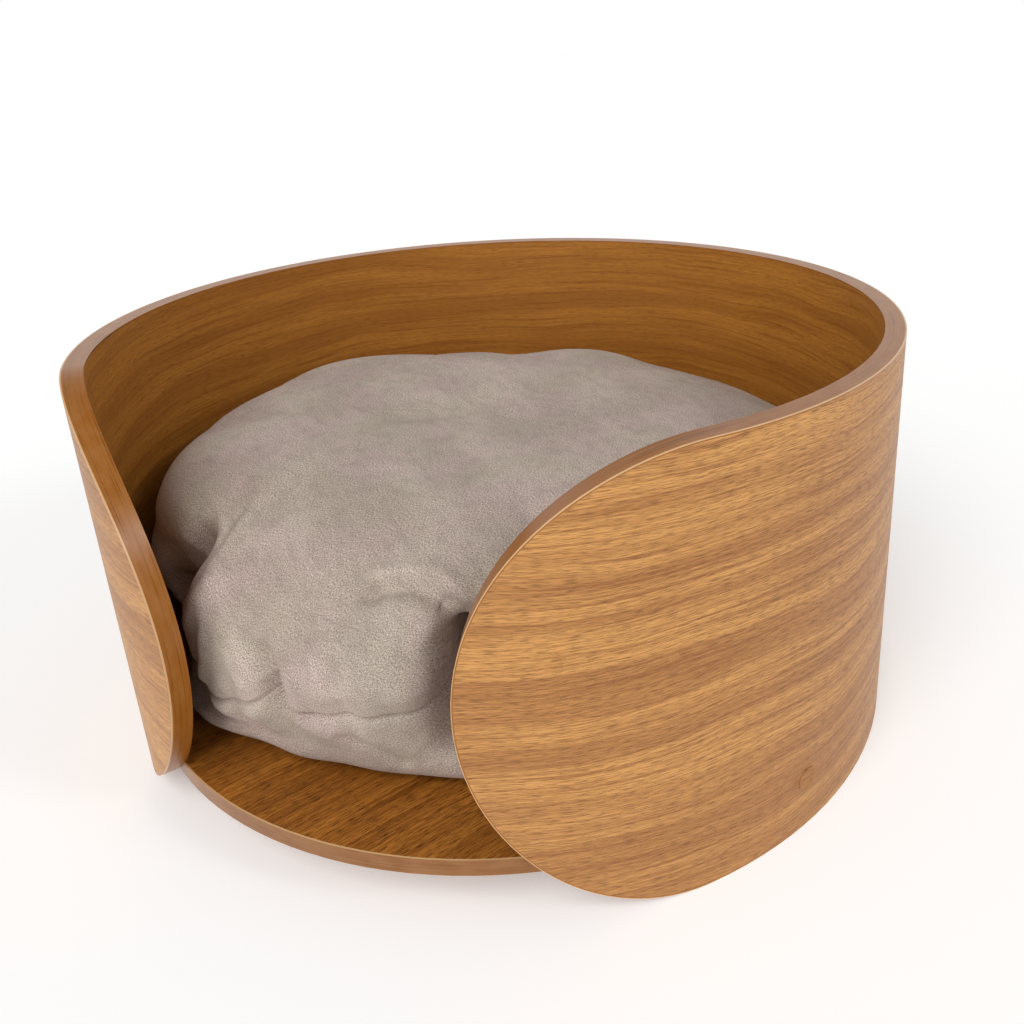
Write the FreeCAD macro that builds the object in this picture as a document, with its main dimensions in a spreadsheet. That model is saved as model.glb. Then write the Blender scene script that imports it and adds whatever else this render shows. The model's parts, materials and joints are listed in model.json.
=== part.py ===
import FreeCAD, Part
import Sketcher
import math
import os
import re

# A round bentwood pet bed: a tall plywood wall bent round a base board, open at the
# front between two half-round lobes, with a loose stuffed cushion. +Z is up, the
# opening faces -Y, and the origin is on the floor at the centre of the wall's circle.

DIMENSIONS = (
    # wall
    ("outer_radius", 250, "radius of the wall's outer face"),
    ("wall_height", 252, "height of the wall; each end is a full half circle of this height"),
    ("wall_thickness", 12, "wall thickness with both veneers"),
    ("veneer_thickness", 0.8, "wood-grain veneer on every broad face"),
    ("band_thickness", 1, "edge band on the wall and the base board"),
    ("opening_half_angle", 19.3, "degrees from -Y to the tip of either lobe"),
    # base board
    ("base_underside", 27.4, "height of the base board's underside"),
    ("base_thickness", 10, "base board thickness with both veneers"),
    ("groove_depth", 2, "depth of the groove in the wall that takes the board's edge"),
    ("groove_clearance", 0.1, "gap round the board's edge in the groove"),
    # fixings
    ("screw_count", 5, "screws through the wall into the board's edge"),
    ("screw_spacing", 58, "degrees from screw to screw, the middle one at the back"),
    ("screw_length", 38, "overall length"),
    ("screw_sink", 0.5, "depth of the head below the wall's outer face"),
    ("head_radius", 4, "countersunk head"),
    ("head_height", 2.4, "countersunk head, down to the shank"),
    ("shank_radius", 2, "plain shank, and the crest of the thread"),
    ("shank_end", 12, "depth below the head's top where the thread starts"),
    ("thread_root", 1.4, "radius at the root of the thread"),
    ("thread_pitch", 2, "distance between ridges"),
    ("ridge_half_width", 0.8, "half width of a ridge at its root"),
    ("thread_turns", 11, "number of ridges"),
    ("tip_length", 4, "pointed end"),
    ("recess_reach", 2.2, "half length of each slot of the cross recess"),
    ("recess_width", 0.9, "width of each slot"),
    ("recess_depth", 1.7, "depth of the cross recess"),
    ("hole_clearance", 0.25, "gap round the shank and head in the wall"),
    ("cap_radius", 7, "self-adhesive cap over each screw head"),
    ("cap_thickness", 0.4, "thickness of the cap"),
    # cushion, heights from its own underside
    ("cushion_gap", 0.3, "cushion above the base board"),
    ("seam_radius", 220, "cushion at its widest, along the seam"),
    ("seam_height", 62, "height of the seam"),
    ("flat_radius", 188, "radius of the flat underside"),
    ("crown_radius", 140, "radius at which the shoulder meets the flat crown"),
    ("cushion_height", 148, "overall thickness"),
    ("cover_thickness", 1.2, "cover fabric"),
    ("liner_inset", 2.9, "liner below the outside of the cover"),
    ("liner_thickness", 0.5, "liner fabric"),
    ("filling_gap", 0.2, "between liner and filling"),
    # zip in the back seam
    ("zip_radius", 219.5, "middle of the teeth, from the cushion's axis"),
    ("zip_half_angle", 50, "degrees from the back to either end of the tapes"),
    ("zip_window_margin", 0.3, "degrees of free space past each end of the tapes"),
    ("tape_edge", 1.6, "height of the tape's inner edge from the seam"),
    ("tape_reach", 8.8, "height of the tape's sewn edge from the seam"),
    ("tape_thickness", 0.6, "zip tape"),
    ("window_reach", 9, "half height of the gap that the zip fills in the cover"),
    ("teeth_half_depth", 0.8, "half of the teeth's radial thickness"),
    ("teeth_gap", 0.5, "free edge of the teeth from the seam"),
    ("teeth_root", 1.2, "root of the teeth from the seam"),
    ("teeth_half_angle", 48.9, "degrees from the back to the last tooth"),
    ("teeth_count", 125, "teeth in each row"),
    ("stop_angle", 49.4, "degrees from the back to the middle of each end stop"),
    ("stop_half_angle", 0.3, "half width of an end stop in degrees"),
    ("stop_half_height", 1.5, "half height of an end stop"),
    ("slider_angle", 47.6, "degrees from the back to the slider when the zip is shut"),
    ("slider_half_length", 4.5, "slider along the zip"),
    ("slider_half_height", 3.2, "slider across the zip"),
    ("slider_clearance", 1.1, "inner face of either slider plate from the middle of the teeth"),
    ("slider_plate", 1.1, "slider plate thickness"),
    ("slider_corner", 1.2, "corner radius of the slider plates"),
    ("bridge_length", 3, "web that joins the two slider plates"),
    ("bridge_inset", 1, "web from the end of the plates"),
    ("bridge_thickness", 0.5, "thickness of that web"),
    ("crown_width", 1.6, "strap over the pull tab's bar"),
    ("crown_strap", 0.8, "thickness of that strap"),
    ("bar_radius", 0.7, "bar of the pull tab, which turns under the strap"),
    ("bar_play", 0.2, "gap round that bar"),
    ("tab_length", 12, "pull tab from its bar to its end"),
    ("tab_width", 5, "pull tab"),
    ("tab_thickness", 1.2, "pull tab"),
    ("tab_window_end", 2.8, "far edge of the window that the strap passes through"),
    ("tab_window_half", 1.1, "half width of that window"),
    ("tab_hole_radius", 1.1, "hole near the free end of the tab"),
    # label
    ("label_angle", 236, "degrees from -Y to the middle of the blank care label"),
    ("label_half_angle", 3.5, "half width of the label in degrees"),
    ("label_length", 26, "length below the seam"),
    ("label_thickness", 0.4, "label fabric"),
)

doc = FreeCAD.newDocument("round_pet_bed")
sheet = doc.addObject("Spreadsheet::Sheet", "Dimensions")
for row, (name, number, meaning) in enumerate(DIMENSIONS, start=1):
    sheet.set(f"A{row}", name)
    sheet.set(f"B{row}", str(number))
    sheet.set(f"C{row}", meaning)
    sheet.setAlias(f"B{row}", name)
doc.recompute()

ALIASES = {name for name, number, meaning in DIMENSIONS}
UP = FreeCAD.Vector(0, 0, 1)
BACK = math.pi    # angles run anticlockwise from -Y, the middle of the opening
nodes = []


def dim(name):
    """The value of a cell of the sheet."""
    return float(sheet.get(name))


def bound(text):
    """An expression on the sheet's cells, written with their bare names."""
    return re.sub(r"[a-z_]+", lambda word: f"Dimensions.{word[0]}" if word[0] in ALIASES else word[0], text)


def bind(item, **expressions):
    """Bind properties of a document object to the sheet."""
    for prop, text in expressions.items():
        item.setExpression(prop.replace("__", "."), bound(text))


def node(item, label):
    """Name a document object as one sub-part of the bed."""
    item.Label = label
    nodes.append(item)
    return item


def shape_feature(label, shape, height=None):
    """A sub-part whose shape comes from Part's own functions."""
    feature = doc.addObject("Part::Feature", label)
    feature.Shape = shape
    if height:
        bind(feature, Placement__Base__z=height)
    return feature


# ---------------------------------------------------------------- curved plates

def point(angle, height):
    return FreeCAD.Base.Vector2d(angle, height)


def line(start, end):
    return Part.Geom2d.Line2dSegment(point(*start), point(*end))


def half_ellipse(centre, reach_angle, reach_height, start, end):
    """Arc round (angle, height); 0 is its top, and it runs through its low-angle side to pi."""
    angle, height = centre
    top = point(angle, height + reach_height)
    side = point(angle - reach_angle, height)
    ellipse = Part.Geom2d.Ellipse2d(top, side, point(*centre))
    return Part.Geom2d.ArcOfEllipse2d(ellipse, start, end)


def polygon(corners):
    return [line(a, b) for a, b in zip(corners, corners[1:] + corners[:1])]


def rectangle(angle_from, angle_to, low, high):
    return polygon([(angle_from, low), (angle_to, low), (angle_to, high), (angle_from, high)])


def side_face(inner, outer):
    """The face between two matching edges: a true plane where both run level."""
    ruled = Part.makeRuledSurface(inner, outer)
    if ruled.BoundBox.ZLength > 0.01:
        return ruled
    height = FreeCAD.Vector(0, 0, ruled.BoundBox.Center.z)
    return Part.Face(Part.Plane(height, UP), ruled.OuterWire)


def curved_plate(outline, inner_radius, outer_radius):
    """Solid between two coaxial cylinders, its edge cut radially along an outline.

    The outline is a closed row of curves in (angle, height). The cylinders' own seam
    lies in the opening, so that no face crosses it.
    """
    seam_turn = FreeCAD.Placement(FreeCAD.Vector(), FreeCAD.Rotation(UP, -90))
    faces, rims = [], []
    for radius in (inner_radius, outer_radius):
        surface = Part.Cylinder()
        surface.Radius = radius
        surface.rotate(seam_turn)
        edges = [curve.toShape(surface) for curve in outline]
        faces.append(Part.Face(surface, Part.Wire(edges)))
        rims.append(edges)
    sides = [side_face(inner, outer) for inner, outer in zip(*rims)]
    shell = Part.Shell(faces + sides)
    shell.sewShape()
    return Part.Solid(shell)


# ------------------------------------------------------------------ sketch tools

def new_body(name):
    return doc.addObject("PartDesign::Body", name)


def sketch_on(body, role, name):
    """An empty sketch on one of the body's own origin planes."""
    plane = next(item for item in body.Origin.OriginFeatures if item.Role == role)
    sketch = body.newObject("Sketcher::SketchObject", name)
    sketch.AttachmentSupport = (plane, "")
    sketch.MapMode = "FlatFace"
    return sketch


def add_circle(sketch, radius):
    """A circle round the sketch's origin, its radius bound to the sheet."""
    size = sheet.evalExpression(bound(radius))
    index = sketch.addGeometry(Part.Circle(FreeCAD.Vector(), UP, float(size)))
    sketch.addConstraint(Sketcher.Constraint("Coincident", index, 3, -1, 1))
    constraint = sketch.addConstraint(Sketcher.Constraint("Radius", index, float(size)))
    sketch.setExpression(f"Constraints[{constraint}]", bound(radius))


def add_polygon(sketch, corners):
    """A closed polygon, both coordinates of each corner bound to the sheet."""
    places = [[float(sheet.evalExpression(bound(text))) for text in corner] for corner in corners]
    vectors = [FreeCAD.Vector(x, y, 0) for x, y in places]
    count = len(corners)
    first = sketch.GeometryCount
    for index in range(count):
        sketch.addGeometry(Part.LineSegment(vectors[index], vectors[(index + 1) % count]))
    for index in range(count):
        following = first + (index + 1) % count
        sketch.addConstraint(Sketcher.Constraint("Coincident", first + index, 2, following, 1))
    for index, (corner, place) in enumerate(zip(corners, places)):
        for kind, text, size in zip(("DistanceX", "DistanceY"), corner, place):
            constraint = sketch.addConstraint(
                Sketcher.Constraint(kind, -1, 1, first + index, 1, size))
            sketch.setExpression(f"Constraints[{constraint}]", bound(text))


def pad(body, sketch, length):
    feature = body.newObject("PartDesign::Pad", "Pad")
    feature.Profile = sketch
    bind(feature, Length=length)
    return feature


def revolve(body, sketch, name="Revolution"):
    """Revolve a sketch about its own vertical axis."""
    feature = body.newObject("PartDesign::Revolution", name)
    feature.Profile = sketch
    feature.ReferenceAxis = (sketch, ["V_Axis"])
    feature.Angle = 360
    return feature


def disc(label, radius, thickness, height):
    """A round board: a padded circle at a height above the floor."""
    body = new_body(label)
    sketch = sketch_on(body, "XY_Plane", "Outline")
    add_circle(sketch, radius)
    pad(body, sketch, thickness)
    bind(body, Placement__Base__z=height)
    return body


def primitive(kind, name, **expressions):
    """A Part primitive with its sizes bound to the sheet."""
    item = doc.addObject(f"Part::{kind}", name)
    bind(item, **expressions)
    return item


def box(name, length, width, height, x, y, z):
    return primitive("Box", name, Length=length, Width=width, Height=height,
                     Placement__Base__x=x, Placement__Base__y=y, Placement__Base__z=z)


def upright_cylinder(name, radius, height, x, y, z):
    return primitive("Cylinder", name, Radius=radius, Height=height,
                     Placement__Base__x=x, Placement__Base__y=y, Placement__Base__z=z)


def cut(name, base, tool):
    item = doc.addObject("Part::Cut", name)
    item.Base = base
    item.Tool = tool
    return item


def fuse(name, *pieces):
    item = doc.addObject("Part::MultiFuse", name)
    item.Shapes = pieces
    return item


# ---------------------------------------------------------------------- wall

def lobe_angle():
    """Angle from -Y to the centre of the first lobe's half circle."""
    return math.radians(dim("opening_half_angle")) + dim("wall_height") / 2 / dim("outer_radius")


def lobe(side, inset):
    """Half circle round the end of the wall; side 0 is the +X lobe, side 1 the -X lobe."""
    reach = dim("wall_height") / 2 - inset
    centre = (abs(side * 2 * math.pi - lobe_angle()), dim("wall_height") / 2)
    turn = side * math.pi
    return half_ellipse(centre, reach / dim("outer_radius"), reach, turn, turn + math.pi)


def run(height):
    """The straight stretch of the wall between the lobes, at a height."""
    return line((lobe_angle(), height), (2 * math.pi - lobe_angle(), height))


def wall_outline(inset):
    """The wall's outline when it is laid flat, drawn in by an inset."""
    return [lobe(0, inset), run(inset), lobe(1, inset), run(dim("wall_height") - inset)]


def top_band_outline(width):
    """A strip of a width along the top edge and down round both lobes."""
    ends = [line((angle, 0), (angle, width)) for angle in (2 * math.pi - lobe_angle(), lobe_angle())]
    top = dim("wall_height")
    outer_rim = [lobe(0, 0), run(top), lobe(1, 0)]
    inner_rim = [lobe(1, width), run(top - width), lobe(0, width)]
    return outer_rim + ends[:1] + inner_rim + ends[1:]


def floor_band_outline(width):
    return rectangle(lobe_angle(), 2 * math.pi - lobe_angle(), 0, width)


def add_wall(screw_holes):
    outer = dim("outer_radius")
    inner = outer - dim("wall_thickness")
    veneer = dim("veneer_thickness")
    band = dim("band_thickness")
    groove = primitive("Cylinder", "groove", Radius="outer_radius - wall_thickness + groove_depth",
                       Height="base_thickness + 2 * groove_clearance",
                       Placement__Base__z="base_underside - groove_clearance")
    plies = shape_feature("plies", curved_plate(wall_outline(band), inner + veneer, outer - veneer))
    outside = shape_feature("outside", curved_plate(wall_outline(band), outer - veneer, outer))
    inside = shape_feature("inside", curved_plate(wall_outline(band), inner, inner + veneer))
    top_band = shape_feature("top_band", curved_plate(top_band_outline(band), inner, outer))
    floor_band = shape_feature("floor_band", curved_plate(floor_band_outline(band), inner, outer))
    node(cut("core", cut("grooved_plies", plies, groove), screw_holes), "wall_core")
    node(cut("outer_veneer", outside, screw_holes), "wall_outer_veneer")
    node(cut("inner_veneer", inside, groove), "wall_inner_veneer")
    node(cut("edge_band", top_band, groove), "wall_edge_band")
    node(floor_band, "wall_floor_edge_band")


# --------------------------------------------------------------- base board

BOARD_RADIUS = "(outer_radius - wall_thickness + groove_depth - groove_clearance)"
BOARD_FACE = f"{BOARD_RADIUS} - band_thickness"


def add_base_board(pilot_holes):
    plies = disc("board_plies", BOARD_FACE, "base_thickness - 2 * veneer_thickness",
                 "base_underside + veneer_thickness")
    band = new_body("board_band")
    sketch = sketch_on(band, "XY_Plane", "Ring")
    add_circle(sketch, BOARD_RADIUS)
    add_circle(sketch, BOARD_FACE)
    pad(band, sketch, "base_thickness")
    bind(band, Placement__Base__z="base_underside")
    node(cut("board_core", plies, pilot_holes), "base_core")
    node(cut("board_edge", band, pilot_holes), "base_edge_band")
    node(disc("base_top_veneer", BOARD_FACE, "veneer_thickness",
              "base_underside + base_thickness - veneer_thickness"), "base_top_veneer")
    node(disc("base_bottom_veneer", BOARD_FACE, "veneer_thickness", "base_underside"), "base_bottom_veneer")


# ------------------------------------------------------------------ fixings

def round_the_wall(piece, name, depth):
    """Copies of a piece, its +Z turned outwards, at each screw's place in the wall."""
    links = []
    for index in range(int(dim("screw_count"))):
        from_middle = index - (dim("screw_count") - 1) / 2
        turn = FreeCAD.Rotation(UP, 90 + from_middle * dim("screw_spacing"))
        outwards = FreeCAD.Rotation(FreeCAD.Vector(0, 1, 0), 90)
        place = turn.multVec(FreeCAD.Vector(dim("outer_radius") - depth, 0, 0))
        place.z = dim("base_underside") + dim("base_thickness") / 2
        link = doc.addObject("App::Link", f"{name}_{index + 1}")
        link.LinkedObject = piece
        link.Placement = FreeCAD.Placement(place, turn * outwards)
        links.append(link)
    group = doc.addObject("Part::Compound", name)
    group.Links = links
    return group


def screw():
    """Countersunk wood screw, the top of its head at Z = 0 and its point downwards."""
    body = new_body("screw")
    blank = sketch_on(body, "XZ_Plane", "Blank")
    add_polygon(blank, [("0", "0"), ("head_radius", "0"), ("shank_radius", "-head_height"),
                        ("shank_radius", "-shank_end"),
                        ("thread_root", "-shank_end - shank_radius + thread_root"),
                        ("thread_root", "-screw_length + tip_length"), ("0", "-screw_length")])
    revolve(body, blank, "Shank")
    ridge = sketch_on(body, "XZ_Plane", "Ridge")
    crest = "-shank_end - thread_pitch"
    upper, lower = f"{crest} + ridge_half_width", f"{crest} - ridge_half_width"
    add_polygon(ridge, [("0", upper), ("thread_root", upper), ("shank_radius", crest),
                        ("thread_root", lower), ("0", lower)])
    turn = revolve(body, ridge, "Thread")
    doc.recompute()
    thread = body.newObject("PartDesign::LinearPattern", "Turns")
    thread.Originals = [turn]
    thread.Direction = (ridge, ["V_Axis"])
    thread.Reversed = True
    thread.Mode = "Spacing"
    bind(thread, Offset="thread_pitch", Occurrences="thread_turns")
    body.Tip = thread
    doc.recompute()
    recess = sketch_on(body, "XY_Plane", "Cross")
    add_cross(recess)
    pocket = body.newObject("PartDesign::Pocket", "Recess")
    pocket.Profile = recess
    bind(pocket, Length="recess_depth")
    body.Tip = pocket
    return body


def add_cross(sketch):
    """Two crossed slots as one twelve-cornered outline."""
    long, short = "recess_reach", "recess_width / 2"
    quarter = [(long, short), (short, short), (short, long)]
    corners = []
    for turn in range(4):
        for x, y in quarter:
            turned = [(x, y), (f"-({y})", x), (f"-({x})", f"-({y})"), (y, f"-({x})")][turn]
            corners.append(turned)
    add_polygon(sketch, corners)


def countersunk_hole():
    """Room for the head and shank, down from the wall's outer face at Z = 0."""
    head = primitive("Cone", "head_room", Radius1="shank_radius + hole_clearance",
                     Radius2="head_radius + hole_clearance", Height="head_height",
                     Placement__Base__z="-screw_sink - head_height")
    mouth = primitive("Cylinder", "mouth", Radius="head_radius + hole_clearance",
                      Height="screw_sink + wall_thickness", Placement__Base__z="-screw_sink")
    shank = primitive("Cylinder", "shank_room", Radius="shank_radius + hole_clearance",
                      Height="wall_thickness", Placement__Base__z="-wall_thickness")
    return fuse("countersunk_hole", head, mouth, shank)


def pilot_hole():
    """Hole in the board's edge: the thread cuts into its wall."""
    return primitive("Cylinder", "pilot_hole", Radius="thread_root", Height="screw_length",
                     Placement__Base__z="-screw_sink - screw_length")


def shank_hole():
    """Wider mouth of the pilot hole, where the plain shank ends in the board's edge."""
    return primitive("Cylinder", "shank_hole", Radius="shank_radius + hole_clearance",
                     Height="shank_end", Placement__Base__z="-screw_sink - shank_end")


def cap():
    """Thin round cap, curved like the wall that it sticks to."""
    radius = "outer_radius + cap_thickness"
    shell = cut("cap_shell",
                primitive("Cylinder", "cap_outside", Radius=radius, Height="4 * cap_radius"),
                primitive("Cylinder", "cap_inside", Radius="outer_radius", Height="4 * cap_radius"))
    disc_cutter = primitive("Cylinder", "cap_disc", Radius="cap_radius", Height=radius,
                            Placement__Base__z="2 * cap_radius")
    disc_cutter.Placement.Rotation = FreeCAD.Rotation(FreeCAD.Vector(0, 1, 0), 90)
    item = doc.addObject("Part::Common", "cap")
    item.Base = shell
    item.Tool = disc_cutter
    return item


def round_the_outside(piece, name):
    """Copies of the cap, which is drawn at angle 0 in place, turned to each screw."""
    links = []
    for index in range(int(dim("screw_count"))):
        from_middle = index - (dim("screw_count") - 1) / 2
        link = doc.addObject("App::Link", f"{name}_{index + 1}")
        link.LinkedObject = piece
        height = dim("base_underside") + dim("base_thickness") / 2 - 2 * dim("cap_radius")
        turn = FreeCAD.Rotation(UP, 90 + from_middle * dim("screw_spacing"))
        link.Placement = FreeCAD.Placement(FreeCAD.Vector(0, 0, height), turn)
        links.append(link)
    group = doc.addObject("Part::Compound", name)
    group.Links = links
    return group


# ------------------------------------------------------------------ cushion

CUSHION_HEIGHT = "base_underside + base_thickness + cushion_gap"


def quarter(centre_radius, reach_radius, reach_height):
    """Quarter ellipse from the seam to above (or below) its centre."""
    seam = dim("seam_height")
    centre = FreeCAD.Vector(centre_radius, 0, seam)
    side = FreeCAD.Vector(centre_radius + reach_radius, 0, seam)
    end = FreeCAD.Vector(centre_radius, 0, seam + reach_height)
    longer, shorter = (side, end) if reach_radius > abs(reach_height) else (end, side)
    return Part.Arc(Part.Ellipse(longer, shorter, centre), 0, math.pi / 2).toShape()


def half_cushion(inset, upper):
    """Solid of revolution: the cushion above or below its seam, drawn in by an inset."""
    if upper:
        centre_radius = dim("crown_radius")
        reach_height = dim("cushion_height") - dim("seam_height") - inset
    else:
        centre_radius = dim("flat_radius")
        reach_height = inset - dim("seam_height")
    seam = dim("seam_height")
    reach_radius = dim("seam_radius") - inset - centre_radius
    arc = quarter(centre_radius, reach_radius, reach_height)
    middle = FreeCAD.Vector(0, 0, seam)
    edge = FreeCAD.Vector(centre_radius + reach_radius, 0, seam)
    rim = FreeCAD.Vector(centre_radius, 0, seam + reach_height)
    pole = FreeCAD.Vector(0, 0, seam + reach_height)
    straight = [Part.makeLine(*ends) for ends in ((middle, edge), (rim, pole), (pole, middle))]
    outline = Part.Wire(Part.__sortEdges__([arc] + straight))
    return Part.Face(outline).revolve(FreeCAD.Vector(), UP, 360)


def half_shell(inset, thickness, upper):
    return half_cushion(inset, upper).cut(half_cushion(inset + thickness, upper))


def back_plate(half_angle, low, high, inner_radius, outer_radius):
    """Rectangular curved plate centred on the back of the cushion; heights from the seam."""
    seam = dim("seam_height")
    reach = math.radians(half_angle)
    outline = rectangle(BACK - reach, BACK + reach, seam + low, seam + high)
    return curved_plate(outline, inner_radius, outer_radius)


def add_cushion_bag():
    cover, liner = dim("cover_thickness"), dim("liner_thickness")
    window_half_angle = dim("zip_half_angle") + dim("zip_window_margin")
    reach = dim("window_reach")
    window = back_plate(window_half_angle, -reach, reach,
                        dim("seam_radius") - 3 * cover, dim("seam_radius") + cover)
    filling_inset = dim("liner_inset") + liner + dim("filling_gap")
    filling = half_cushion(filling_inset, True).fuse(half_cushion(filling_inset, False)).removeSplitter()
    pieces = {
        "cushion_filling": filling,
        "liner_top_panel": half_shell(dim("liner_inset"), liner, True),
        "liner_bottom_panel": half_shell(dim("liner_inset"), liner, False),
        "cover_top_panel": half_shell(0, cover, True).cut(window),
        "cover_bottom_panel": half_shell(0, cover, False).cut(window),
    }
    for label, shape in pieces.items():
        node(shape_feature(label, shape, CUSHION_HEIGHT), label)
    node(shape_feature("care_label", label_shape(), CUSHION_HEIGHT), "care_label")


def label_shape():
    """Blank care label that hangs from the seam beside the zip."""
    middle, reach = math.radians(dim("label_angle")), math.radians(dim("label_half_angle"))
    seam, radius = dim("seam_height"), dim("seam_radius")
    outline = rectangle(middle - reach, middle + reach, seam - dim("label_length"), seam)
    return curved_plate(outline, radius, radius + dim("label_thickness"))


# ---------------------------------------------------------------------- zip

def teeth_outline(sign):
    """A comb along the seam: sign 1 has its free edge down, sign -1 up."""
    seam, root, free, edge = dim("seam_height"), dim("teeth_root"), dim("teeth_gap"), dim("tape_edge")
    start = BACK - math.radians(dim("teeth_half_angle"))
    count = int(dim("teeth_count"))
    step = 2 * math.radians(dim("teeth_half_angle")) / (2 * count - 1)
    corners = []
    for tooth in range(count):
        left = start + 2 * tooth * step
        right = left + step
        corners += [(left, free), (right, free)]
        if tooth < count - 1:
            corners += [(right, root), (right + step, root)]
    corners += [(corners[-1][0], edge), (start, edge)]
    return polygon([(angle, seam + sign * height) for angle, height in corners])


def add_zip_chain():
    middle, half = dim("zip_radius"), dim("teeth_half_depth")
    tape_outer = middle - half + dim("tape_thickness")
    for side, sign in (("upper", 1), ("lower", -1)):
        low, high = sorted((sign * dim("tape_edge"), sign * dim("tape_reach")))
        tape = back_plate(dim("zip_half_angle"), low, high, middle - half, tape_outer)
        node(shape_feature(f"zip_{side}_tape", tape, CUSHION_HEIGHT), f"zip_{side}_tape")
        teeth = curved_plate(teeth_outline(sign), middle - half, middle + half)
        node(shape_feature(f"zip_{side}_teeth", teeth, CUSHION_HEIGHT), f"zip_{side}_teeth")
    node(shape_feature("zip_stops", Part.makeCompound([stop(-1), stop(1)]), CUSHION_HEIGHT), "zip_stops")


def stop(side):
    """Clip that ends the row of teeth on one side of the back."""
    angle = BACK + side * math.radians(dim("stop_angle"))
    reach, seam = math.radians(dim("stop_half_angle")), dim("seam_height")
    rise, half = dim("stop_half_height"), dim("teeth_half_depth")
    outline = rectangle(angle - reach, angle + reach, seam - rise, seam + rise)
    return curved_plate(outline, dim("zip_radius") - half, dim("zip_radius") + half)


def at_slider(item):
    """Set a piece of the slider, drawn with +Y outwards, at the shut end of the zip."""
    turn = FreeCAD.Rotation(UP, -dim("slider_angle"))
    place = turn.multVec(FreeCAD.Vector(0, dim("zip_radius"), 0))
    place.z = float(sheet.evalExpression(bound(f"{CUSHION_HEIGHT} + seam_height")))
    item.Placement = FreeCAD.Placement(place, turn)
    return item


def rounded_plate(name, near_face):
    """Slider plate parallel to the zip, its four corners rounded; near_face is its lower Y."""
    plate = box(name, "2 * slider_half_length", "slider_plate", "2 * slider_half_height",
                "-slider_half_length", near_face, "-slider_half_height")
    doc.recompute()
    along_y = [index for index, edge in enumerate(plate.Shape.Edges, start=1)
               if abs(edge.tangentAt(edge.FirstParameter).y) > 0.5]
    rounded = doc.addObject("Part::Fillet", f"{name}_rounded")
    rounded.Base = plate
    rounded.Edges = [(index, dim("slider_corner"), dim("slider_corner")) for index in along_y]
    return rounded


BAR_CENTRE = "(slider_clearance + slider_plate + bar_play + bar_radius)"
STRAP_ROOM = "(bar_radius + bar_play)"


def add_slider():
    """Two plates, the web between them and the strap that holds the pull tab's bar."""
    outer = rounded_plate("outer_plate", "slider_clearance")
    inner = rounded_plate("inner_plate", "-slider_clearance - slider_plate")
    web = box("web", "bridge_length", "2 * slider_clearance", "bridge_thickness",
              "-slider_half_length + bridge_inset", "-slider_clearance", "-bridge_thickness / 2")
    strap_reach = f"({STRAP_ROOM} + crown_strap)"
    strap_depth = f"{BAR_CENTRE} + {strap_reach} - slider_clearance - slider_plate"
    strap = box("strap", f"2 * {strap_reach}", strap_depth, "crown_width",
                f"-{strap_reach}", "slider_clearance + slider_plate", "-crown_width / 2")
    room = box("bar_room", f"2 * {STRAP_ROOM}", f"2 * {STRAP_ROOM}", "2 * crown_width",
               f"-{STRAP_ROOM}", "slider_clearance + slider_plate", "-crown_width")
    slider = fuse("slider", outer, inner, web, cut("open_strap", strap, room))
    node(at_slider(slider), "zip_slider")


def add_pull_tab():
    """Flat tab with a round bar across one end, lying along the zip beyond its shut end."""
    plate = box("tab_plate", "tab_length - tab_width / 2", "tab_thickness", "tab_width",
                "0", f"{BAR_CENTRE} - tab_thickness / 2", "-tab_width / 2")
    end = primitive("Cylinder", "tab_end", Radius="tab_width / 2", Height="tab_thickness",
                    Placement__Base__x="tab_length - tab_width / 2",
                    Placement__Base__y=f"{BAR_CENTRE} + tab_thickness / 2")
    window = box("tab_window", f"tab_window_end + {STRAP_ROOM}", "4 * tab_thickness", "2 * tab_window_half",
                 f"-{STRAP_ROOM}", f"{BAR_CENTRE} - 2 * tab_thickness", "-tab_window_half")
    hole = primitive("Cylinder", "tab_hole", Radius="tab_hole_radius", Height="4 * tab_thickness",
                     Placement__Base__x="tab_length - tab_width / 2",
                     Placement__Base__y=f"{BAR_CENTRE} + 2 * tab_thickness")
    for piece in (end, hole):
        piece.Placement.Rotation = FreeCAD.Rotation(FreeCAD.Vector(1, 0, 0), 90)
    bar = upright_cylinder("tab_bar", "bar_radius", "tab_width", "0", BAR_CENTRE, "-tab_width / 2")
    flat = cut("tab_flat", cut("tab_ring", fuse("tab_blank", plate, end), window), hole)
    node(at_slider(fuse("tab", flat, bar)), "zip_pull_tab")


# ---------------------------------------------------------------- the whole bed

def check_document():
    """Stop unless every object recomputed and every sub-part is one or more valid solids."""
    for item in doc.Objects:
        failed = {"Invalid", "Error"} & set(item.State)
        if failed:
            raise RuntimeError(f"{item.Label} is {failed}")
    for item in nodes:
        shape = item.Shape
        if shape.isNull() or not shape.isValid() or not shape.Solids:
            raise RuntimeError(f"{item.Label} has no valid solid")


hole_tools = round_the_wall(countersunk_hole(), "screw_holes", 0)
pilots = fuse("board_hole", pilot_hole(), shank_hole())
add_wall(hole_tools)
add_base_board(round_the_wall(pilots, "pilot_holes", 0))
node(round_the_wall(screw(), "screws", dim("screw_sink")), "base_screws")
node(round_the_outside(cap(), "caps"), "screw_caps")
add_cushion_bag()
add_zip_chain()
add_slider()
add_pull_tab()
doc.recompute()
check_document()

os.makedirs("parts", exist_ok=True)
for item in nodes:
    item.Shape.exportStep(f"parts/{item.Label}.step")
    print(f"{item.Label}: {len(item.Shape.Solids)} solid(s), {item.Shape.Volume / 1000:.2f} cm3")
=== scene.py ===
import json
import math

import bpy
import numpy as np
from mathutils import Euler, Matrix, Vector


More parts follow.
